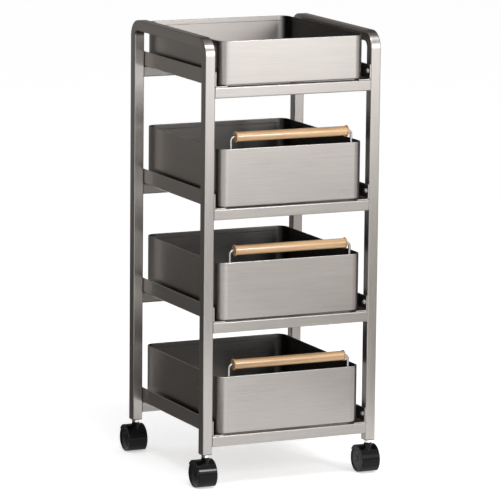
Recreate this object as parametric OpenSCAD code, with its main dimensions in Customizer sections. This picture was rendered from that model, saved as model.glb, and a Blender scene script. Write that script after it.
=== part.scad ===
// Rolling storage rack: two bent tube side frames, four levels of cross
// tubes and angle runners, an open top tray, three pull-out boxes with
// wooden grips, and four twin-wheel casters.
// Millimetres, +Z up, front towards -Y. The origin is on the floor under
// the middle of the whole rack, casters included.

/* [Frame] */
// Overall width over the two side frames
frame_w = 356; // [300:2:420]
// Overall depth of a side frame, front post to rear post
frame_d = 348; // [300:2:400]
// Height of a side frame, from the post ends to the top of the rail
frame_h = 773; // [760:1:840]
// Outside size of the square tube
tube = 20; // [18:0.5:24]
// Wall of the square tube
tube_wall = 1.2; // [0.8:0.1:1.8]
// Outside corner radius of the square tube
tube_edge_r = 2; // [1.9:0.1:3]
// Outside radius of the bends at the top corners
bend_r = 32; // [28:1:50]

/* [Levels] */
// Bare post below the lowest cross tube
post_foot = 13; // [8:1:30]
// Lowest level to the next one up
bay_low = 214; // [200:1:225]
// Second level to the third
bay_mid = 211; // [200:1:225]
// Third level to the top one
bay_high = 225; // [205:1:235]

/* [Angle runners] */
// Height of the standing leg
runner_h = 29; // [26:0.5:36]
// Width of the flat leg that carries a box
runner_w = 24; // [18:0.5:32]
// Thickness of the angle
runner_t = 2; // [1.5:0.1:3]
// Outside radius of its bend
runner_bend_r = 3.5; // [3.2:0.1:5]
// Distance of each runner end from the face of the frame
runner_end_gap = 0.5; // [0:0.1:3]

/* [Tray and boxes] */
// Gap between the side of a box and the standing leg of its runner
pan_side_gap = 9; // [4:0.5:13]
// Front face of a box behind the front of the frame
pan_front_inset = 4; // [2:0.5:10]
// Rear face of a box in front of the rear of the frame
pan_rear_inset = 2; // [1:0.5:10]
// Height of the top tray
tray_h = 82; // [50:1:110]
// Height of each box
box_h = 108; // [70:1:115]
// Sheet thickness
sheet = 1; // [0.8:0.1:1.5]
// Outside radius of the standing corners
pan_corner_r = 19; // [12:0.5:30]
// Outside radius of the bend round the floor
pan_bend_r = 3; // [2:0.1:5]
// Thickness of the folded rim
hem_t = 2; // [1.8:0.1:3]
// Depth of the folded rim
hem_h = 9; // [6:0.5:14]

/* [Handles] */
// Diameter of the handle wire
wire_d = 5; // [4:0.25:6]
// Upright legs of the wire, in from the standing corners of the box
leg_from_corner = 5.5; // [3:0.5:40]
// Radius of the wire's bends, on its centre line
wire_bend_r = 7; // [5.5:0.5:10]
// Centre of the grip above the rim
grip_rise = 21.5; // [18:0.5:26]
// How far a leg reaches down behind the front wall
wire_reach = 42; // [30:1:60]
// Diameter of the wooden grip
grip_d = 21; // [16:0.5:26]
// Gap between each end of the grip and the bend of the wire
grip_end_gap = 1; // [0.3:0.1:10]
// Rounding of the grip's end edges
grip_edge_r = 1.5; // [0.5:0.1:3]

/* [Casters] */
// Diameter of a wheel
wheel_d = 50; // [46:1:54]
// Width of one wheel
wheel_w = 10; // [8:0.5:12]
// Space between the two wheels of a caster
wheel_gap = 16.6; // [16:0.2:20]
// Offset of the wheel axis behind the stem
trail = 11; // [9:0.5:14]
// Wall of the hood over the wheels
hood_t = 1.6; // [1.2:0.1:2.5]
// Free height between hood and wheels
hood_clearance = 0.6; // [0.4:0.1:1.5]
// Diameter of the boss that holds the stem
boss_d = 15; // [13:0.5:15]
// Top of that boss above the tops of the wheels
boss_rise = 8; // [6:0.5:16]
// Diameter of the stem
stem_d = 8; // [6:0.5:8.5]
// Diameter of the axle
axle_d = 6; // [4:0.5:7]

/* [Fixings] */
// Height of the lock nut
nut_h = 5.5; // [4:0.5:8]
// Width of the lock nut across its flats
nut_flats = 13; // [13:0.5:15]
// Thickness of the leg plug's flange
plug_flange = 1.2; // [0.8:0.1:3]
// Length of the plug inside the post
plug_len = 20; // [14:1:28]
// Diameter of the runner screws
screw_d = 5; // [4:0.5:6]

/* [Hidden] */
$fn = 48;

// Clearances
running = 0.05;      // round part turning in a bore, on the radius
fixed_gap = 0.05;    // threaded or pressed round part, on the radius
face_gap = 0.3;      // between faces that turn past each other
plug_gap = 0.1;      // plug to the inside of the post, on each side
wire_gap = 0.1;      // handle wire to the folded rim
screw_play = 0.2;    // screw in the runner's hole, on the radius

// Parts of the fixings
screw_head_d = 9.2;
screw_head_h = 2.6;
screw_len = 13;
screw_key = 3;
screw_key_depth = 1.5;
rivet_wall = 0.95;
rivet_len = 11;
rivet_bulge = 1.3;
rivet_bulge_len = 3;
stem_short_of_plug = 2;
ring_t = 1;
ring_rise = 0.6;
ring_play = 0.2;
ring_above_tip = 4;
chamfer = 0.6;

// Parts of a caster
hood_from = 35;      // rear end of the hood, degrees above the rear
hood_to = 233;       // front end of the hood, close to the floor
web_t = 8;
hub_wall = 3;
boss_depth = 27;
boss_edge = 1;
stem_reach = 24;
socket_spare = 0.5;
tyre_t = 3.6;
tyre_edge_r = 1.3;
disc_t = 1.6;
disc_recess = 0.9;
groove_r = 17.5;
groove_w = 1;
groove_depth = 0.4;
cap_r = 6;
cap_rise = 0.6;
rib_t = 1.2;
rib_count = 6;
rib_set_back = 3;

// Weld pads between a handle wire and the wall
pad_w = 3;
pad_h = 18;
pad_above_end = 3;

// Heights, from the floor up
boss_top = wheel_d + boss_rise;
post_z = boss_top + face_gap + nut_h + plug_flange;
top_z = post_z + frame_h;
low_z = post_z + post_foot + tube;
levels = [
    ["top", low_z + bay_low + bay_mid + bay_high],
    ["upper", low_z + bay_low + bay_mid],
    ["middle", low_z + bay_low],
    ["lower", low_z]
];

// Plan positions, measured from the middle of the frame
inner_x = frame_w / 2 - tube;
post_x = frame_w / 2 - tube / 2;
post_y = frame_d / 2 - tube / 2;

// Tray and boxes
pan_w = 2 * (inner_x - runner_t - pan_side_gap);
pan_d = frame_d - pan_front_inset - pan_rear_inset;
pan_y = (pan_front_inset - pan_rear_inset) / 2;
wire_r = wire_d / 2;
wire_y = pan_y - pan_d / 2 + hem_t + wire_gap + wire_r;
wire_span = pan_w - 2 * (pan_corner_r + leg_from_corner);
grip_len = wire_span - 2 * (wire_bend_r + grip_end_gap);
screw_z = runner_bend_r + (runner_h - runner_bend_r) / 2;

// Casters, and the middle of the frame from the middle of the whole
wheel_r = wheel_d / 2;
hood_r = wheel_r + hood_clearance + hood_t;
caster_w = wheel_gap + 2 * wheel_w + 2 * face_gap;
front_reach = max(frame_d / 2, post_y - trail + hood_r, grip_d / 2 - wire_y);
rear_reach = max(frame_d / 2, post_y + trail + wheel_r);
mid_y = (front_reach - rear_reach) / 2;
corners = [
    ["front_left", -post_x, -post_y],
    ["front_right", post_x, -post_y],
    ["rear_left", -post_x, post_y],
    ["rear_right", post_x, post_y]
];

steel = [0.74, 0.72, 0.70];
dark_steel = [0.42, 0.40, 0.38];
bright_steel = [0.88, 0.88, 0.86];
wood = [0.85, 0.68, 0.47];
black_plastic = [0.10, 0.10, 0.10];

// Rectangle with true round corners, centred
module rounded_rect(w, d, r) {
    square([w - 2 * r, d], center = true);
    square([w, d - 2 * r], center = true);
    for (x = [-1, 1], y = [-1, 1])
        translate([x * (w / 2 - r), y * (d / 2 - r)])
            circle(r);
}

module tube_section() {
    bore = tube - 2 * tube_wall;
    difference() {
        rounded_rect(tube, tube, tube_edge_r);
        rounded_rect(bore, bore, tube_edge_r - tube_wall);
    }
}

// Quarter ring in the lower left quadrant, as seen in a bent sheet
module bend_section(outside_r, thickness) {
    intersection() {
        difference() {
            circle(outside_r);
            circle(outside_r - thickness);
        }
        translate([-outside_r, -outside_r])
            square(outside_r);
    }
}

// Drawing plane of a side view: x runs to the rear, y up, z to the right
module side_view() {
    rotate([90, 0, 90])
        children();
}

// One length of tube bent into an upside-down U
module bent_frame() {
    half = frame_d / 2;
    straight = half - bend_r;
    for (y = [-post_y, post_y])
        translate([0, y, post_z])
            linear_extrude(frame_h - bend_r)
                tube_section();
    for (side = [0, 1])
        mirror([0, side, 0])
            translate([0, straight, top_z - bend_r])
                side_view()
                    rotate_extrude(angle = 90)
                        translate([bend_r - tube / 2, 0])
                            tube_section();
    translate([0, straight, top_z - tube / 2])
        rotate([90, 0, 0])
            linear_extrude(2 * straight)
                tube_section();
}

// Holes in the post's inner wall for the rivet nuts; inward is +1 or -1
module rivet_holes(inward) {
    for (level = levels, y = [-post_y, post_y])
        translate([inward * tube / 2, y, level[1] + screw_z])
            rotate([0, 90, 0])
                cylinder(h = 3 * tube_wall, r = screw_d / 2 + fixed_gap + rivet_wall + fixed_gap, center = true);
}

module side_frame(side) {
    color(steel)
        translate([side * post_x, mid_y, 0])
            difference() {
                bent_frame();
                rivet_holes(-side);
            }
}

// Straight tube between the side frames, flush with the posts
module cross_tube(side, z) {
    color(steel)
        translate([0, mid_y + side * post_y, z - tube / 2])
            rotate([0, 90, 0])
                linear_extrude(2 * inner_x, center = true)
                    tube_section();
}

// Section of the angle runner: x inward from the post, y up
module angle_section() {
    translate([0, runner_bend_r])
        square([runner_t, runner_h - runner_bend_r - runner_t / 2]);
    translate([runner_t / 2, runner_h - runner_t / 2])
        circle(runner_t / 2);
    translate([runner_bend_r, 0])
        square([runner_w - runner_bend_r, runner_t]);
    translate([runner_bend_r, runner_bend_r])
        bend_section(runner_bend_r, runner_t);
}

// Left-hand runner; the right-hand one is its mirror image
module runner(side, z) {
    length = frame_d - 2 * runner_end_gap;
    color(dark_steel)
        translate([0, mid_y, z])
            mirror([side > 0 ? 1 : 0, 0, 0])
                translate([-inner_x, 0, 0])
                    difference() {
                        translate([0, length / 2, 0])
                            rotate([90, 0, 0])
                                linear_extrude(length)
                                    angle_section();
                        for (y = [-post_y, post_y])
                            translate([runner_t / 2, y, screw_z])
                                rotate([0, 90, 0])
                                    cylinder(h = 3 * runner_t, r = screw_d / 2 + screw_play, center = true);
                    }
}

// Runs its children at every runner screw, x pointing out into the post
module at_runner_screws() {
    for (level = levels, side = [-1, 1], y = [-post_y, post_y])
        translate([side * inner_x, mid_y + y, level[1] + screw_z])
            mirror([side < 0 ? 1 : 0, 0, 0])
                children();
}

// Button head screw with a hexagon socket, head on the box side
module runner_screw() {
    translate([-runner_t, 0, 0])
        rotate([0, 90, 0])
            difference() {
                union() {
                    cylinder(h = screw_len + runner_t - chamfer, r = screw_d / 2);
                    translate([0, 0, screw_len + runner_t - chamfer])
                        cylinder(h = chamfer, r1 = screw_d / 2, r2 = screw_d / 2 - chamfer);
                    translate([0, 0, -screw_head_h])
                        cylinder(h = screw_head_h / 2, r1 = screw_head_d / 2 - screw_head_h / 2,
                                 r2 = screw_head_d / 2);
                    translate([0, 0, -screw_head_h / 2])
                        cylinder(h = screw_head_h / 2, r = screw_head_d / 2);
                }
                translate([0, 0, -screw_head_h])
                    cylinder(h = 2 * screw_key_depth, d = screw_key / cos(30), center = true, $fn = 6);
            }
}

// Blind-side nut: a sleeve in the post's wall, swollen behind it
module rivet_nut() {
    bore_r = screw_d / 2 + fixed_gap;
    rotate([0, 90, 0])
        difference() {
            union() {
                cylinder(h = rivet_len, r = bore_r + rivet_wall);
                translate([0, 0, tube_wall])
                    cylinder(h = rivet_bulge_len, r = bore_r + rivet_wall + rivet_bulge);
            }
            cylinder(h = 3 * rivet_len, r = bore_r, center = true);
        }
}

module runner_screws() {
    color(bright_steel)
        at_runner_screws()
            runner_screw();
}

module rivet_nuts() {
    color(bright_steel)
        at_runner_screws()
            rivet_nut();
}

// Square plastic plug in the end of each post, threaded for the stem
module leg_plugs() {
    bore = tube - 2 * tube_wall;
    flange = tube - tube_edge_r / 2;
    color(black_plastic)
        for (corner = corners)
            translate([corner[1], mid_y + corner[2], post_z])
                difference() {
                    union() {
                        linear_extrude(plug_len)
                            rounded_rect(bore - 2 * plug_gap, bore - 2 * plug_gap, tube_edge_r - tube_wall);
                        translate([0, 0, -plug_flange])
                            linear_extrude(plug_flange)
                                rounded_rect(flange, flange, tube_edge_r / 2);
                    }
                    cylinder(h = 3 * plug_len, r = stem_d / 2 + fixed_gap, center = true);
                }
}

// Hexagon nut with chamfered corners under each post
module lock_nuts() {
    corner_r = nut_flats / 2 / cos(30);
    flat_r = nut_flats / 2;
    color(bright_steel)
        for (corner = corners)
            translate([corner[1], mid_y + corner[2], post_z - plug_flange - nut_h])
                difference() {
                    intersection() {
                        cylinder(h = nut_h, r = corner_r, $fn = 6);
                        union() {
                            cylinder(h = chamfer, r1 = flat_r, r2 = flat_r + chamfer);
                            translate([0, 0, chamfer])
                                cylinder(h = nut_h - 2 * chamfer, r = corner_r);
                            translate([0, 0, nut_h - chamfer])
                                cylinder(h = chamfer, r1 = flat_r + chamfer, r2 = flat_r);
                        }
                    }
                    cylinder(h = 3 * nut_h, r = stem_d / 2 + fixed_gap, center = true);
                }
}

// Section through a pan's wall: rim fold at the top, bend at the bottom.
// x is measured from the centre of the standing corner.
module wall_section(h) {
    translate([pan_corner_r - sheet, pan_bend_r])
        square([sheet, h - pan_bend_r - hem_t / 2]);
    translate([pan_corner_r - hem_t, h - hem_h])
        square([hem_t, hem_h - hem_t / 2]);
    translate([pan_corner_r - hem_t / 2, h - hem_t / 2])
        circle(hem_t / 2);
    translate([pan_corner_r - pan_bend_r, pan_bend_r])
        mirror([1, 0])
            bend_section(pan_bend_r, sheet);
}

// Open pan of bent sheet with round corners and a folded rim
module pan(h) {
    half_x = pan_w / 2 - pan_corner_r;
    half_y = pan_d / 2 - pan_corner_r;
    for (quarter = [0 : 3]) {
        along_x = quarter % 2 == 1;
        rotate([0, 0, 90 * quarter])
            translate([along_x ? half_y : half_x, 0, 0])
                rotate([90, 0, 0])
                    linear_extrude(2 * (along_x ? half_x : half_y), center = true)
                        wall_section(h);
    }
    for (corner = [[1, 1, 0], [-1, 1, 90], [-1, -1, 180], [1, -1, 270]])
        translate([corner[0] * half_x, corner[1] * half_y, 0])
            rotate([0, 0, corner[2]])
                rotate_extrude(angle = 90)
                    wall_section(h);
    linear_extrude(sheet)
        rounded_rect(pan_w - 2 * pan_bend_r, pan_d - 2 * pan_bend_r, pan_corner_r - pan_bend_r);
}

module placed_pan(h, z) {
    color(steel)
        translate([0, mid_y + pan_y, z + runner_t])
            pan(h);
}

// Wire bail behind the front wall, with a pad at each weld
module handle_wire(z) {
    rim_z = z + runner_t + box_h;
    bar_z = rim_z + grip_rise;
    leg_x = wire_span / 2;
    wall_y = wire_y - wire_r - wire_gap - hem_t + sheet;
    color(bright_steel)
        translate([0, mid_y, 0]) {
            for (side = [0, 1])
                mirror([side, 0, 0]) {
                    translate([leg_x, wire_y, rim_z - wire_reach])
                        cylinder(h = wire_reach + grip_rise - wire_bend_r, r = wire_r);
                    translate([leg_x - wire_bend_r, wire_y, bar_z - wire_bend_r])
                        rotate([90, 0, 0])
                            rotate_extrude(angle = 90)
                                translate([wire_bend_r, 0])
                                    circle(wire_r);
                    translate([leg_x - pad_w / 2, wall_y, rim_z - wire_reach + pad_above_end])
                        cube([pad_w, wire_y - wall_y, pad_h]);
                }
            translate([0, wire_y, bar_z])
                rotate([0, 90, 0])
                    cylinder(h = wire_span - 2 * wire_bend_r, r = wire_r, center = true);
        }
}

// Turned wooden grip, bored through for the wire
module handle_grip(z) {
    bore_r = wire_r + running;
    grip_r = grip_d / 2;
    color(wood)
        translate([0, mid_y + wire_y, z + runner_t + box_h + grip_rise])
            rotate([0, 90, 0])
                rotate_extrude()
                    difference() {
                        union() {
                            square([grip_r, grip_len - 2 * grip_edge_r], center = true);
                            translate([0, -grip_len / 2])
                                square([grip_r - grip_edge_r, grip_len]);
                            for (end = [-1, 1])
                                translate([grip_r - grip_edge_r, end * (grip_len / 2 - grip_edge_r)])
                                    circle(grip_edge_r);
                        }
                        translate([bore_r - grip_r, -grip_len])
                            square([grip_r, 2 * grip_len]);
                        translate([-grip_r, -grip_len])
                            square([grip_r, 2 * grip_len]);
                    }
}

// Stem with a snap ring near its tip, screwed into the leg plug
module caster_stem(corner) {
    tip_z = boss_top - stem_reach;
    color(bright_steel)
        translate([corner[1], mid_y + corner[2], 0]) {
            translate([0, 0, tip_z])
                cylinder(h = chamfer, r1 = stem_d / 2 - chamfer, r2 = stem_d / 2);
            translate([0, 0, tip_z + chamfer])
                cylinder(h = post_z + plug_len - stem_short_of_plug - tip_z - chamfer, r = stem_d / 2);
            translate([0, 0, tip_z + ring_above_tip])
                cylinder(h = ring_t, r = stem_d / 2 + ring_rise);
        }
}

// Flat sector of a disc in the side view, degrees from the rear up
module sector(r, from, to) {
    reach = 2 * r;
    steps = 5;
    turn = (to - from) / steps;
    intersection() {
        circle(r);
        polygon(concat([[0, 0]], [for (i = [0 : steps]) reach * [cos(from + i * turn), sin(from + i * turn)]]));
    }
}

// Moulded body: hood, middle web, stem boss and axle hub
module caster_body(corner) {
    hub_r = axle_d / 2 + hub_wall;
    ring_z = boss_top - stem_reach + ring_above_tip;
    color(black_plastic)
        translate([corner[1], mid_y + corner[2], 0])
            difference() {
                union() {
                    translate([0, trail, wheel_r])
                        side_view() {
                            rotate([0, 0, hood_from])
                                rotate_extrude(angle = hood_to - hood_from)
                                    translate([hood_r - hood_t / 2, 0])
                                        rounded_rect(hood_t, caster_w, hood_t / 2 - chamfer / 2);
                            linear_extrude(web_t, center = true)
                                sector(hood_r - hood_t / 2, hood_from, hood_to);
                            cylinder(h = wheel_gap - 2 * face_gap, r = hub_r, center = true);
                        }
                    translate([0, 0, boss_top - boss_depth])
                        cylinder(h = boss_depth - boss_edge, r = boss_d / 2);
                    translate([0, 0, boss_top - boss_edge])
                        cylinder(h = boss_edge, r1 = boss_d / 2, r2 = boss_d / 2 - boss_edge);
                }
                translate([0, 0, boss_top - stem_reach - socket_spare])
                    cylinder(h = 2 * boss_depth, r = stem_d / 2 + running);
                translate([0, 0, ring_z - ring_play])
                    cylinder(h = ring_t + 2 * ring_play, r = stem_d / 2 + ring_rise + ring_play);
                translate([0, trail, wheel_r])
                    rotate([0, 90, 0])
                        cylinder(h = 2 * caster_w, r = axle_d / 2 + fixed_gap / 2, center = true);
            }
}

module caster_axle(corner) {
    length = caster_w - 2 * (face_gap + disc_recess + disc_t);
    color(bright_steel)
        translate([corner[1], mid_y + corner[2] + trail, wheel_r])
            rotate([0, 90, 0]) {
                cylinder(h = length - 2 * chamfer, r = axle_d / 2, center = true);
                for (end = [0, 1])
                    mirror([0, 0, end])
                        translate([0, 0, length / 2 - chamfer])
                            cylinder(h = chamfer, r1 = axle_d / 2, r2 = axle_d / 2 - chamfer);
            }
}

// Section of a wheel: x is the radius, y runs to its outer face
module wheel_section() {
    bore_r = axle_d / 2 + running;
    disc_top = wheel_w - disc_recess;
    translate([wheel_r - tyre_t, 0])
        square([tyre_t - tyre_edge_r, wheel_w]);
    translate([wheel_r - tyre_t, tyre_edge_r])
        square([tyre_t, wheel_w - 2 * tyre_edge_r]);
    for (y = [tyre_edge_r, wheel_w - tyre_edge_r])
        translate([wheel_r - tyre_edge_r, y])
            circle(tyre_edge_r);
    difference() {
        translate([0, disc_top - disc_t])
            square([wheel_r - tyre_t / 2, disc_t]);
        translate([groove_r, disc_top - groove_depth])
            square([groove_w, disc_t]);
    }
    translate([0, disc_top - disc_t])
        square([cap_r, disc_t + cap_rise]);
    translate([bore_r, 0])
        square([hub_wall, disc_top - disc_t / 2]);
}

// Cupped wheel with ribs behind its disc, open towards the middle web
module wheel(corner, side) {
    disc_back = wheel_w - disc_recess - disc_t;
    hub_r = axle_d / 2 + running + hub_wall;
    color(black_plastic)
        translate([corner[1], mid_y + corner[2] + trail, wheel_r])
            mirror([side < 0 ? 1 : 0, 0, 0])
                translate([wheel_gap / 2, 0, 0])
                    rotate([0, 90, 0]) {
                        rotate_extrude()
                            wheel_section();
                        for (i = [0 : rib_count - 1])
                            rotate([0, 0, i * 360 / rib_count])
                                translate([hub_r - hub_wall / 2, -rib_t / 2, rib_set_back])
                                    cube([wheel_r - tyre_t / 2 - hub_r + hub_wall / 2, rib_t,
                                          disc_back - rib_set_back + disc_t / 2]);
                    }
}

side_frame(-1);  // left_side_frame
side_frame(1);  // right_side_frame
for (level = levels) {
    cross_tube(-1, level[1]);
    cross_tube(1, level[1]);
    runner(-1, level[1]);
    runner(1, level[1]);
}
runner_screws();
rivet_nuts();
leg_plugs();
lock_nuts();
placed_pan(tray_h, levels[0][1]);  // top_tray
for (i = [1 : 3]) {
    placed_pan(box_h, levels[i][1]);
    handle_wire(levels[i][1]);
    handle_grip(levels[i][1]);
}
for (corner = corners) {
    caster_stem(corner);
    caster_body(corner);
    caster_axle(corner);
    wheel(corner, -1);
    wheel(corner, 1);
}
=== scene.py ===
import math

import bpy
from mathutils import Matrix, Vector


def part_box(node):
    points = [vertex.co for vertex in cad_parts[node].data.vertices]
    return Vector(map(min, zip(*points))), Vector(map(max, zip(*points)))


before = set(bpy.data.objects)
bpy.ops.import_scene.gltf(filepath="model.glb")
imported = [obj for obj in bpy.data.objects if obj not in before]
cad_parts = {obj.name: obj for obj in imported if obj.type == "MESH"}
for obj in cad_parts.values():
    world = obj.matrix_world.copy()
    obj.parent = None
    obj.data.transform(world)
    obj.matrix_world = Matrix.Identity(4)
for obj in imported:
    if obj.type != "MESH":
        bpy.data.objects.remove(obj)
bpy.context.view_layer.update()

bpy.ops.object.select_all(action="DESELECT")


# ---- Side frames -----------------------------------------------------------
# Each is one length of square steel tube, bent at both top corners. The steel
# is brushed along the tube, so its marks run up the posts and round the bends.
# The edges are a little smoother from the belt, and paler from a painted highlight.
TUBE_STEEL = (0.4, 0.378, 0.361)
STEEL_ROUGHNESS = 0.3
BEND_RADIUS = 0.032


def new_material(name):
    """Makes a material; returns it and its Principled shader."""
    material = bpy.data.materials.new(name)
    material.use_nodes = True
    shader = material.node_tree.nodes["Principled BSDF"]
    return material, shader


def add_node(tree, kind, **settings):
    """Adds a node; a setting is a property, or in_NUMBER a socket's value."""
    made = tree.nodes.new(kind)
    for key, value in settings.items():
        if key.startswith("in_"):
            made.inputs[int(key[3:])].default_value = value
        else:
            setattr(made, key, value)
    return made


def math_node(tree, operation, first, second=None, third=None):
    """A Math node on sockets or plain numbers; returns its output."""
    made = add_node(tree, "ShaderNodeMath", operation=operation)
    for socket, value in zip(made.inputs, (first, second, third)):
        if isinstance(value, bpy.types.NodeSocket):
            tree.links.new(value, socket)
        elif value is not None:
            socket.default_value = value
    return made.outputs[0]


def map_range(tree, value, low, high, at_low=0.0, at_high=1.0):
    """A Map Range node from low..high to at_low..at_high; returns its output."""
    made = add_node(tree, "ShaderNodeMapRange", in_1=low, in_2=high, in_3=at_low, in_4=at_high)
    tree.links.new(value, made.inputs[0])
    return made.outputs[0]


def stretched_noise(tree, vector, scale, detail, roughness=0.5):
    """Noise drawn out along an axis; scale is features a metre on each axis."""
    mapping = add_node(tree, "ShaderNodeMapping", in_3=scale)
    tree.links.new(vector, mapping.inputs[0])
    noise = add_node(tree, "ShaderNodeTexNoise", noise_dimensions="3D")
    tree.links.new(mapping.outputs[0], noise.inputs["Vector"])
    noise.inputs["Scale"].default_value = 1.0
    noise.inputs["Detail"].default_value = detail
    noise.inputs["Roughness"].default_value = roughness
    return noise.outputs[0]


def new_group(name, inputs, outputs):
    """A shader node group with named sockets, and its two end nodes."""
    group = bpy.data.node_groups.new(name, "ShaderNodeTree")
    for socket, kind in inputs:
        group.interface.new_socket(name=socket, in_out="INPUT", socket_type=kind)
    for socket, kind in outputs:
        group.interface.new_socket(name=socket, in_out="OUTPUT", socket_type=kind)
    return group, group.nodes.new("NodeGroupInput"), group.nodes.new("NodeGroupOutput")


def place_group(tree, group, **values):
    """Places a group; a value is a socket to link or a number to set."""
    made = tree.nodes.new("ShaderNodeGroup")
    made.node_tree = group
    for key, value in values.items():
        socket = made.inputs[key.replace("_", " ")]
        if isinstance(value, bpy.types.NodeSocket):
            tree.links.new(value, socket)
        else:
            socket.default_value = value
    return made


def make_brush_marks():
    """Marks of a brushing belt. Path holds two ways across and one along."""
    group, start, end = new_group(
        "brush_marks",
        [("Path", "NodeSocketVector")],
        [("Tone", "NodeSocketFloat"), ("Scratch", "NodeSocketFloat")])
    bands = stretched_noise(group, start.outputs[0], (420, 420, 6), 3, 0.6)
    lines = stretched_noise(group, start.outputs[0], (1900, 1900, 24), 2, 0.6)
    cloud = stretched_noise(group, start.outputs[0], (14, 14, 5), 2)
    tone = math_node(group, "MULTIPLY_ADD", bands, 0.35, math_node(group, "MULTIPLY", lines, 0.4))
    tone = math_node(group, "MULTIPLY_ADD", cloud, 0.25, tone)
    group.links.new(tone, end.inputs["Tone"])
    group.links.new(math_node(group, "MULTIPLY_ADD", bands, 0.4, lines), end.inputs["Scratch"])
    return group


def make_edge_polish_and_highlight():
    """One along the edges of a piece, zero on its faces, for smoother edges and a painted edge
    highlight, and its eased normal.
    """
    group, start, end = new_group(
        "edge_polish_and_highlight", [("Amount", "NodeSocketFloat")],
        [("Mask", "NodeSocketFloat"), ("Normal", "NodeSocketVector")])
    bevel = add_node(group, "ShaderNodeBevel", samples=4, in_0=0.0012)
    geometry = add_node(group, "ShaderNodeNewGeometry")
    facing = add_node(group, "ShaderNodeVectorMath", operation="DOT_PRODUCT")
    group.links.new(bevel.outputs[0], facing.inputs[0])
    group.links.new(geometry.outputs["Normal"], facing.inputs[1])
    turned = math_node(group, "SUBTRACT", 1.0, facing.outputs["Value"])
    strong = math_node(group, "MULTIPLY", turned, start.outputs[0])
    limited = math_node(group, "MINIMUM", strong, 1.0)
    group.links.new(limited, end.inputs["Mask"])
    group.links.new(bevel.outputs[0], end.inputs["Normal"])
    return group


brush_marks = make_brush_marks()
edge_polish_and_highlight = make_edge_polish_and_highlight()


def brushed_steel(name, colour, roughness, make_path, make_inside_shading=None):
    """Steel with brush marks along a path, and its gloss drawn out across it.
    The last argument, if given, makes a painted tone of light and shade on the inner walls and an
    added roughness there."""
    material, shader = new_material(name)
    tree = material.node_tree
    position = add_node(tree, "ShaderNodeTexCoord").outputs["Object"]
    path, across = make_path(tree, position)
    marks = place_group(tree, brush_marks, Path=path)
    edges = place_group(tree, edge_polish_and_highlight, Amount=5.0)
    shader.inputs["Anisotropic"].default_value = 0.5
    tree.links.new(across, shader.inputs["Tangent"])
    tone = map_range(tree, marks.outputs["Tone"], 0.38, 0.62, 0.93, 1.07)
    # Painted highlight: the base colour is lightened along the edges.
    lighter = math_node(tree, "MULTIPLY_ADD", edges.outputs["Mask"], 0.3, tone)
    inner_shading, inner_roughness = make_inside_shading(tree, position) if make_inside_shading else (1.0, 0.0)
    # Painted light and shade: the base colour is scaled by the inner walls' tone.
    lighter = math_node(tree, "MULTIPLY", lighter, inner_shading)
    paint = add_node(tree, "ShaderNodeVectorMath", operation="SCALE", in_0=colour)
    tree.links.new(lighter, paint.inputs["Scale"])
    tree.links.new(paint.outputs[0], shader.inputs["Base Color"])
    sheen = map_range(tree, marks.outputs["Tone"], 0.35, 0.65,
                      roughness - 0.035, roughness + 0.035)
    smooth = math_node(tree, "MULTIPLY_ADD", edges.outputs["Mask"], -0.08, sheen)
    smooth = math_node(tree, "ADD", smooth, inner_roughness)
    tree.links.new(smooth, shader.inputs["Roughness"])
    bump = add_node(tree, "ShaderNodeBump", in_0=0.06)
    bump.inputs["Distance"].default_value = 0.0001
    tree.links.new(marks.outputs["Scratch"], bump.inputs["Height"])
    tree.links.new(edges.outputs["Normal"], bump.inputs["Normal"])
    tree.links.new(bump.outputs[0], shader.inputs["Normal"])
    shader.inputs["Metallic"].default_value = 1.0
    return material


def path_along(axis):
    """Path for a straight piece, whose marks run along X or Y, and the way across."""
    def make_path(tree, position):
        parts = add_node(tree, "ShaderNodeSeparateXYZ")
        tree.links.new(position, parts.inputs[0])
        order = {"X": (1, 2, 0), "Y": (0, 2, 1)}[axis]
        joined = add_node(tree, "ShaderNodeCombineXYZ")
        for place, source in enumerate(order):
            tree.links.new(parts.outputs[source], joined.inputs[place])
        across = add_node(tree, "ShaderNodeCombineXYZ", in_2=1.0)
        across.inputs[order[0]].default_value = 0.02
        return joined.outputs[0], across.outputs[0]
    return make_path


def path_round_bends(tree, position):
    """Path for a side frame, up a post, round the bend and along the top."""
    low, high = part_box("left_side_frame")
    middle_y, half_depth = (low.y + high.y) / 2, (high.y - low.y) / 2
    parts = add_node(tree, "ShaderNodeSeparateXYZ")
    tree.links.new(position, parts.inputs[0])
    offset = math_node(tree, "SUBTRACT", parts.outputs[1], middle_y)
    from_middle = math_node(tree, "ABSOLUTE", offset)
    past_y = math_node(tree, "SUBTRACT", from_middle, half_depth - BEND_RADIUS)
    past_z = math_node(tree, "SUBTRACT", parts.outputs[2], high.z - BEND_RADIUS)
    out_y, out_z = (math_node(tree, "MAXIMUM", past, 0.0) for past in (past_y, past_z))
    rest_y, rest_z = (math_node(tree, "MINIMUM", past, 0.0) for past in (past_y, past_z))
    across = math_node(tree, "SQRT", math_node(
        tree, "MULTIPLY_ADD", out_y, out_y, math_node(tree, "MULTIPLY", out_z, out_z)))
    turn = math_node(tree, "ARCTAN2", out_z, out_y)
    straight = math_node(tree, "SUBTRACT", rest_z, rest_y)
    along = math_node(tree, "MULTIPLY_ADD", turn, BEND_RADIUS, straight)
    joined = add_node(tree, "ShaderNodeCombineXYZ")
    for place, source in enumerate((parts.outputs[0], across, along)):
        tree.links.new(source, joined.inputs[place])
    outward = add_node(tree, "ShaderNodeCombineXYZ", in_0=1.0)
    tree.links.new(math_node(tree, "MULTIPLY", out_y, math_node(tree, "SIGN", offset)),
                   outward.inputs[1])
    tree.links.new(out_z, outward.inputs[2])
    return joined.outputs[0], outward.outputs[0]


def dress(material, *names):
    """Gives CAD nodes their finish."""
    for name in names:
        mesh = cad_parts[name].data
        mesh.materials.clear()
        mesh.materials.append(material)


tube_steel = brushed_steel("brushed_tube", TUBE_STEEL, STEEL_ROUGHNESS, path_round_bends)
dress(tube_steel, "left_side_frame", "right_side_frame")


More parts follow.
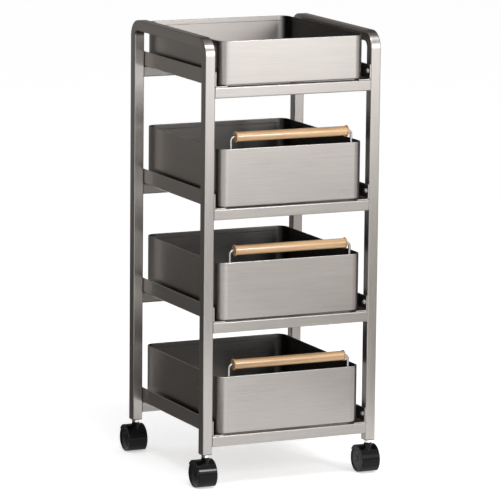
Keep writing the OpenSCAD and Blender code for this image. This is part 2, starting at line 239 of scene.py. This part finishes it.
# ---- Cross tubes and angle runners -----------------------------------------
# The cross tubes are the same square tube, cut square and welded between the
# posts. The runners are bent steel angles that stand on the cross tubes, with
# their marks running front to rear. They are rolled steel, a shade darker.
LEVELS = ("top", "upper", "middle", "lower")
RAIL_STEEL = (0.352, 0.333, 0.317)
ANGLE_STEEL = (0.42, 0.395, 0.375)

rail_steel = brushed_steel("brushed_rail", RAIL_STEEL, STEEL_ROUGHNESS, path_along("X"))
angle_steel = brushed_steel("brushed_angle", ANGLE_STEEL, STEEL_ROUGHNESS + 0.03, path_along("Y"))
for level in LEVELS:
    dress(rail_steel, f"front_rail_{level}", f"rear_rail_{level}")
    dress(angle_steel, f"left_runner_{level}", f"right_runner_{level}")


# ---- Screws, rivet nuts, plugs, lock nuts and stems ------------------------
# Steel fixings, plated bright on the nuts and stems and dull on the screws.
# The plugs in the post ends are black nylon.
BRIGHT_ZINC = (0.88, 0.88, 0.86)
DULL_ZINC = (0.62, 0.61, 0.58)
NYLON = (0.018, 0.018, 0.019)
CORNERS = ("front_left", "front_right", "rear_left", "rear_right")


def plated(name, colour, roughness):
    """Zinc plate: a cloudy tone and fine grains."""
    material, shader = new_material(name)
    tree = material.node_tree
    position = add_node(tree, "ShaderNodeTexCoord").outputs["Object"]
    cloud = stretched_noise(tree, position, (160, 160, 160), 3)
    grains = stretched_noise(tree, position, (2200, 2200, 2200), 2)
    edges = place_group(tree, edge_polish_and_highlight, Amount=4.0)
    tone = map_range(tree, cloud, 0.3, 0.7, 0.88, 1.06)
    # Painted highlight: the base colour is a little lighter along the edges.
    lighter = math_node(tree, "MULTIPLY_ADD", edges.outputs["Mask"], 0.08, tone)
    paint = add_node(tree, "ShaderNodeVectorMath", operation="SCALE", in_0=colour)
    tree.links.new(lighter, paint.inputs["Scale"])
    tree.links.new(paint.outputs[0], shader.inputs["Base Color"])
    sheen = map_range(tree, grains, 0.3, 0.7, roughness - 0.04, roughness + 0.06)
    tree.links.new(sheen, shader.inputs["Roughness"])
    tree.links.new(edges.outputs["Normal"], shader.inputs["Normal"])
    shader.inputs["Metallic"].default_value = 1.0
    return material


def moulded(name, colour, roughness, texture):
    """Moulded plastic: a fine skin, edges paler from a painted highlight and uneven gloss."""
    material, shader = new_material(name)
    tree = material.node_tree
    position = add_node(tree, "ShaderNodeTexCoord").outputs["Object"]
    cloud = stretched_noise(tree, position, (70, 70, 70), 3)
    skin = stretched_noise(tree, position, (1400, 1400, 1400), 2)
    edges = place_group(tree, edge_polish_and_highlight, Amount=3.0)
    tone = map_range(tree, cloud, 0.3, 0.7, 0.8, 1.25)
    # Painted highlight: the base colour is paler along the edges.
    lighter = math_node(tree, "MULTIPLY_ADD", edges.outputs["Mask"], 0.8, tone)
    paint = add_node(tree, "ShaderNodeVectorMath", operation="SCALE", in_0=colour)
    tree.links.new(lighter, paint.inputs["Scale"])
    tree.links.new(paint.outputs[0], shader.inputs["Base Color"])
    gloss = map_range(tree, cloud, 0.3, 0.7, roughness - 0.03, roughness + 0.04)
    tree.links.new(gloss, shader.inputs["Roughness"])
    shader.inputs["Specular IOR Level"].default_value = 0.17
    bump = add_node(tree, "ShaderNodeBump", in_0=texture)
    bump.inputs["Distance"].default_value = 0.0001
    tree.links.new(skin, bump.inputs["Height"])
    tree.links.new(edges.outputs["Normal"], bump.inputs["Normal"])
    tree.links.new(bump.outputs[0], shader.inputs["Normal"])
    return material


bright_zinc = plated("bright_zinc", BRIGHT_ZINC, 0.2)
dull_zinc = plated("dull_zinc", DULL_ZINC, 0.34)
dress(dull_zinc, "runner_screws", "rivet_nuts")
dress(bright_zinc, "lock_nuts", *[f"caster_stem_{corner}" for corner in CORNERS])
dress(moulded("black_nylon", NYLON, 0.45, 0.3), "leg_plugs")


# ---- Top tray and the three boxes ------------------------------------------
# Sheet steel with round corners, a bent edge round the floor and a folded
# rim, brushed level round the walls. The marks on the floor run front to rear.
SHEET_STEEL = (0.355, 0.335, 0.319)
# Painted light and shade on the inner walls, set against the steel outside: the painted
# tone of the end walls, the painted tone of the side walls and the added roughness of the
# end walls. The tray's end walls are painted lighter, all other inner walls darker.
TRAY_INSIDE_SHADING = (1.5, 0.05, 0.16)
BOX_INSIDE_SHADING = (0.68, 0.25, 0.0)


def path_round_walls(tree, position):
    """Path for a pan: level round its walls, and along Y on its floor."""
    parts = add_node(tree, "ShaderNodeSeparateXYZ")
    tree.links.new(position, parts.inputs[0])
    corner = add_node(tree, "ShaderNodeSeparateXYZ")
    geometry = add_node(tree, "ShaderNodeNewGeometry")
    tree.links.new(geometry.outputs["Normal"], corner.inputs[0])
    upright = math_node(tree, "LESS_THAN", math_node(tree, "ABSOLUTE", corner.outputs[2]), 0.7)
    level = math_node(tree, "ADD", parts.outputs[0], parts.outputs[1])
    across = add_node(tree, "ShaderNodeMix", data_type="FLOAT")
    along = add_node(tree, "ShaderNodeMix", data_type="FLOAT")
    for mix, on_floor, on_wall in ((across, parts.outputs[0], parts.outputs[2]),
                                   (along, parts.outputs[1], level)):
        tree.links.new(upright, mix.inputs["Factor"])
        tree.links.new(on_floor, mix.inputs[2])
        tree.links.new(on_wall, mix.inputs[3])
    joined = add_node(tree, "ShaderNodeCombineXYZ")
    tree.links.new(across.outputs[0], joined.inputs[0])
    tree.links.new(along.outputs[0], joined.inputs[2])
    upward = add_node(tree, "ShaderNodeCombineXYZ", in_0=0.02, in_2=1.0)
    return joined.outputs[0], upward.outputs[0]


def inner_wall_shading(end_shading, side_shading, added_roughness):
    """Paints light and shade on a pan's inner end and side walls as tones, and gives them a
    roughness of their own.
    """
    low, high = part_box("box_upper")

    def make_inside_shading(tree, position):
        from_middle = add_node(tree, "ShaderNodeVectorMath", operation="SUBTRACT",
                               in_1=((low.x + high.x) / 2, (low.y + high.y) / 2, 0))
        tree.links.new(position, from_middle.inputs[0])
        level = add_node(tree, "ShaderNodeVectorMath", operation="MULTIPLY", in_1=(1, 1, 0))
        tree.links.new(from_middle.outputs[0], level.inputs[0])
        outward = add_node(tree, "ShaderNodeVectorMath", operation="DOT_PRODUCT")
        tree.links.new(level.outputs[0], outward.inputs[0])
        normal = add_node(tree, "ShaderNodeNewGeometry").outputs["Normal"]
        tree.links.new(normal, outward.inputs[1])
        inward = map_range(tree, outward.outputs["Value"], -0.03, -0.005, 1.0, 0.0)
        facing = add_node(tree, "ShaderNodeSeparateXYZ")
        tree.links.new(normal, facing.inputs[0])
        end_on = math_node(tree, "POWER", math_node(tree, "ABSOLUTE", facing.outputs[1]), 6.0)
        # Painted light and shade: the inner walls' tone, set against 1 for the steel outside.
        inner = math_node(tree, "MULTIPLY_ADD", end_on, end_shading - side_shading, side_shading - 1.0)
        coarse = math_node(tree, "MULTIPLY", inward, end_on)
        return (math_node(tree, "MULTIPLY_ADD", inward, inner, 1.0),
                math_node(tree, "MULTIPLY", coarse, added_roughness))
    return make_inside_shading


sheet_steel = brushed_steel("brushed_tray", SHEET_STEEL, STEEL_ROUGHNESS, path_round_walls,
                            inner_wall_shading(*TRAY_INSIDE_SHADING))
box_steel = brushed_steel("brushed_box", SHEET_STEEL, STEEL_ROUGHNESS, path_round_walls,
                          inner_wall_shading(*BOX_INSIDE_SHADING))
dress(sheet_steel, "top_tray")
dress(box_steel, "box_upper", "box_middle", "box_lower")


# ---- Handles ---------------------------------------------------------------
# Each box has a bail of plated 5 mm wire, welded inside its front wall, and a
# grip turned from pale beech that spins on the wire. The grip is lacquered,
# with darker end grain where the lacquer soaks in.
WIRE_STEEL = (0.45, 0.44, 0.43)
BEECH_LIGHT = (0.6, 0.378, 0.178)
BEECH_DARK = (0.35, 0.188, 0.075)
END_GRAIN = (0.30, 0.15, 0.07)


def lacquered_beech():
    """Fibres along X, short dark flecks, and soaked end grain."""
    material, shader = new_material("lacquered_beech")
    tree = material.node_tree
    position = add_node(tree, "ShaderNodeTexCoord").outputs["Object"]
    bands = stretched_noise(tree, position, (4, 110, 110), 3)
    fibres = stretched_noise(tree, position, (24, 900, 900), 3, 0.6)
    flecks = stretched_noise(tree, position, (260, 1500, 1500), 1)
    grain = math_node(tree, "MULTIPLY_ADD", bands, 0.65, math_node(tree, "MULTIPLY", fibres, 0.35))
    amount = map_range(tree, grain, 0.4, 0.6)
    wood = add_node(tree, "ShaderNodeMix", data_type="RGBA")
    wood.inputs[6].default_value = (*BEECH_DARK, 1)
    wood.inputs[7].default_value = (*BEECH_LIGHT, 1)
    tree.links.new(amount, wood.inputs["Factor"])
    dots = map_range(tree, flecks, 0.62, 0.7, 0.0, 0.55)
    flecked = add_node(tree, "ShaderNodeMix", data_type="RGBA")
    flecked.inputs[7].default_value = (*END_GRAIN, 1)
    tree.links.new(dots, flecked.inputs["Factor"])
    tree.links.new(wood.outputs[2], flecked.inputs[6])
    facing = add_node(tree, "ShaderNodeSeparateXYZ")
    geometry = add_node(tree, "ShaderNodeNewGeometry")
    tree.links.new(geometry.outputs["Normal"], facing.inputs[0])
    end_on = map_range(tree, math_node(tree, "ABSOLUTE", facing.outputs[0]), 0.75, 0.95)
    ended = add_node(tree, "ShaderNodeMix", data_type="RGBA")
    ended.inputs[7].default_value = (*END_GRAIN, 1)
    tree.links.new(end_on, ended.inputs["Factor"])
    tree.links.new(flecked.outputs[2], ended.inputs[6])
    tree.links.new(ended.outputs[2], shader.inputs["Base Color"])
    rough = map_range(tree, fibres, 0.3, 0.7, 0.3, 0.42)
    tree.links.new(rough, shader.inputs["Roughness"])
    bump = add_node(tree, "ShaderNodeBump", in_0=0.15)
    bump.inputs["Distance"].default_value = 0.0002
    tree.links.new(fibres, bump.inputs["Height"])
    tree.links.new(bump.outputs[0], shader.inputs["Normal"])
    shader.inputs["Coat Weight"].default_value = 1.0
    shader.inputs["Coat Roughness"].default_value = 0.15
    return material


bright_wire = plated("bright_wire", WIRE_STEEL, 0.16)
beech = lacquered_beech()
for level in LEVELS[1:]:
    dress(bright_wire, f"handle_wire_{level}")
    dress(beech, f"handle_grip_{level}")


# ---- Casters ---------------------------------------------------------------
# Black moulded bodies, polished on the hood, turn on plated stems. The two
# wheels of a caster are nylon and run on a plated axle.
hood_plastic = moulded("polished_black", (0.003, 0.003, 0.003), 0.07, 0.04)
wheel_plastic = moulded("wheel_nylon", (0.008, 0.008, 0.008), 0.26, 0.15)
for corner in CORNERS:
    dress(hood_plastic, f"caster_body_{corner}")
    dress(dull_zinc, f"caster_axle_{corner}")
    dress(wheel_plastic, f"left_wheel_{corner}", f"right_wheel_{corner}")


# ---- Photo studio ----------------------------------------------------------
# A white floor, a white surrounding and three soft boxes, two in front and one
# above. A dark screen behind, a dark mat at the left and a grey card in front
# only show in the steel, as the studio's unlit side did.
FLOOR_SIZE = 120
SCREEN_RADIUS = 1.9
SCREEN_MIDDLE = 0.3
# Glow of the cloth from low to high, as (metres above the floor, strength).
CLOTH_GLOW = ((0.0, 0.11), (0.4, 0.26), (1.1, 0.3), (1.7, 0.05), (1.9, 0.05), (2.15, 0.35))
BLACK_GLOW = ((0.0, 0.02), (1.7, 0.02))
# Turns round the rack in degrees: 0 is the rear, 90 the right and -90 the left.
SCREEN_TURNS = (-116, 115)
STRIP_TURNS = (-157, -149)
BLACK_TURNS = (-116, -45)


def background_rays(tree):
    """One for the rays that show the background: camera, gloss and glass."""
    rays = add_node(tree, "ShaderNodeLightPath")
    seen = math_node(tree, "MAXIMUM", rays.outputs["Is Camera Ray"], rays.outputs["Is Glossy Ray"])
    return math_node(tree, "MAXIMUM", seen, rays.outputs["Is Transmission Ray"])


def white_surrounding():
    world = bpy.data.worlds.new("white_surrounding")
    bpy.context.scene.world = world
    world.use_nodes = True
    tree = world.node_tree
    seen = background_rays(tree)
    strength = math_node(tree, "MULTIPLY_ADD", seen, 0.45, 0.55)
    tree.links.new(strength, tree.nodes["Background"].inputs["Strength"])
    tree.nodes["Background"].inputs["Color"].default_value = (1, 1, 1, 1)


def white_floor():
    bpy.ops.mesh.primitive_plane_add(size=FLOOR_SIZE, location=(0, 0, -0.0003))
    floor = bpy.context.object
    floor.name = "floor"
    material, shader = new_material("white_floor")
    tree = material.node_tree
    shader.inputs["Base Color"].default_value = (0.88, 0.88, 0.88, 1)
    shader.inputs["Roughness"].default_value = 0.9
    shader.inputs["Specular IOR Level"].default_value = 0.0
    shader.inputs["Emission Color"].default_value = (1, 1, 1, 1)
    tree.links.new(math_node(tree, "MULTIPLY", background_rays(tree), 0.5),
                   shader.inputs["Emission Strength"])
    floor.data.materials.append(material)


def soft_box(name, place, aim, width, height, level):
    """An area lamp of a given brightness, so its power follows its size."""
    light = bpy.data.lights.new(name, "AREA")
    light.shape = "RECTANGLE"
    light.size, light.size_y = width, height
    light.energy = level * math.pi * width * height
    lamp = bpy.data.objects.new(name, light)
    bpy.context.scene.collection.objects.link(lamp)
    lamp.location = place
    lamp.rotation_euler = (Vector(aim) - Vector(place)).to_track_quat("-Z", "Y").to_euler()


def gloss_card(card, material):
    """Makes a sheet part of the stage that only shows in the steel's gloss."""
    card.data.materials.append(material)
    card.visible_camera = card.visible_diffuse = card.visible_shadow = False
    card.visible_transmission = card.visible_volume_scatter = False


def glowing(name, colour, strengths):
    """A material whose glow follows height: (metres, strength) from low to high."""
    material = bpy.data.materials.new(name)
    material.use_nodes = True
    tree = material.node_tree
    tree.nodes.remove(tree.nodes["Principled BSDF"])
    parts = add_node(tree, "ShaderNodeSeparateXYZ")
    tree.links.new(add_node(tree, "ShaderNodeNewGeometry").outputs["Position"], parts.inputs[0])
    ramp = add_node(tree, "ShaderNodeValToRGB")
    top = strengths[-1][0]
    ramp.color_ramp.elements.remove(ramp.color_ramp.elements[1])
    stops = ramp.color_ramp.elements
    for number, (height, strength) in enumerate(strengths):
        stop = stops.new(height / top) if number else stops[0]
        stop.position = height / top
        stop.color = (strength, strength, strength, 1)
    tree.links.new(math_node(tree, "DIVIDE", parts.outputs[2], top), ramp.inputs[0])
    glow = add_node(tree, "ShaderNodeEmission", in_0=(*colour, 1))
    tree.links.new(ramp.outputs[0], glow.inputs[1])
    tree.links.new(glow.outputs[0], tree.nodes["Material Output"].inputs[0])
    return material


def dark_screen():
    """Part of a dome behind and above, a strip by the camera, and a mat at the left."""
    dark_cloth = glowing("dark_cloth", (1.0, 0.96, 0.92), CLOTH_GLOW)
    black_cloth = glowing("black_cloth", (1.0, 1.0, 1.0), BLACK_GLOW)
    bpy.ops.mesh.primitive_uv_sphere_add(segments=72, ring_count=36, radius=SCREEN_RADIUS,
                                         location=(0, 0, SCREEN_MIDDLE))
    screen = bpy.context.object
    screen.name = "dark_screen"
    bpy.ops.object.mode_set(mode="EDIT")
    bpy.ops.mesh.select_all(action="DESELECT")
    bpy.ops.object.mode_set(mode="OBJECT")
    for face in screen.data.polygons:
        way = face.center.normalized()
        turn = math.degrees(math.atan2(way.x, way.y))
        behind = any(low < turn < high for low, high in (SCREEN_TURNS, STRIP_TURNS))
        face.select = not (behind and way.z > -0.2 or way.z > 0.9)
        face.material_index = int(BLACK_TURNS[0] < turn < BLACK_TURNS[1] and way.z < 0.6)
    bpy.ops.object.mode_set(mode="EDIT")
    bpy.ops.mesh.delete(type="FACE")
    bpy.ops.object.mode_set(mode="OBJECT")
    gloss_card(screen, dark_cloth)
    screen.data.materials.append(black_cloth)
    bpy.ops.mesh.primitive_plane_add(size=1, location=(-1.4, 0.8, 0.001))
    mat = bpy.context.object
    mat.name = "dark_mat"
    mat.scale = (2.4, 3.2, 1)
    gloss_card(mat, dark_cloth)


def grey_card():
    """Lies in front, where it tones down the steel of the middle levels."""
    bpy.ops.mesh.primitive_plane_add(size=1, location=(1.5, -1.95, 0.001))
    card = bpy.context.object
    card.name = "grey_card"
    card.scale = (2.24, 2.7, 1)
    gloss_card(card, glowing("grey_paper", (0.6, 0.56, 0.52), ((0.0, 1.0), (1.0, 1.0))))


def photo_camera():
    """The photograph's view: a long lens, 25 degrees to the left of front."""
    camera = bpy.data.cameras.new("photo_camera")
    camera.lens = 281.17
    camera.sensor_width = 36
    camera.clip_end = 200
    viewer = bpy.data.objects.new("photo_camera", camera)
    bpy.context.scene.collection.objects.link(viewer)
    right = Vector((0.908101, -0.418637, 0.009970))
    up = Vector((0.063645, 0.161510, 0.984823))
    turned = Matrix((right, up, right.cross(up))).transposed().to_4x4()
    viewer.matrix_world = Matrix.Translation((-3.0601, -6.6068, 1.6896)) @ turned
    bpy.context.scene.camera = viewer


white_surrounding()
white_floor()
soft_box("front_soft_box", (0.5, -2.0, 0.85), (0.5, 0, 0.85), 2.0, 1.0, 1.35)
soft_box("top_soft_box", (0.0, -0.9, 2.2), (0, -0.3, 0.3), 1.4, 0.8, 6.0)
soft_box("small_soft_box", (0.78, -2.0, 1.3), (-0.17, -0.2, 0.1), 0.16, 0.6, 26.0)
dark_screen()
grey_card()
photo_camera()
bpy.context.scene.view_settings.view_transform = "Standard"
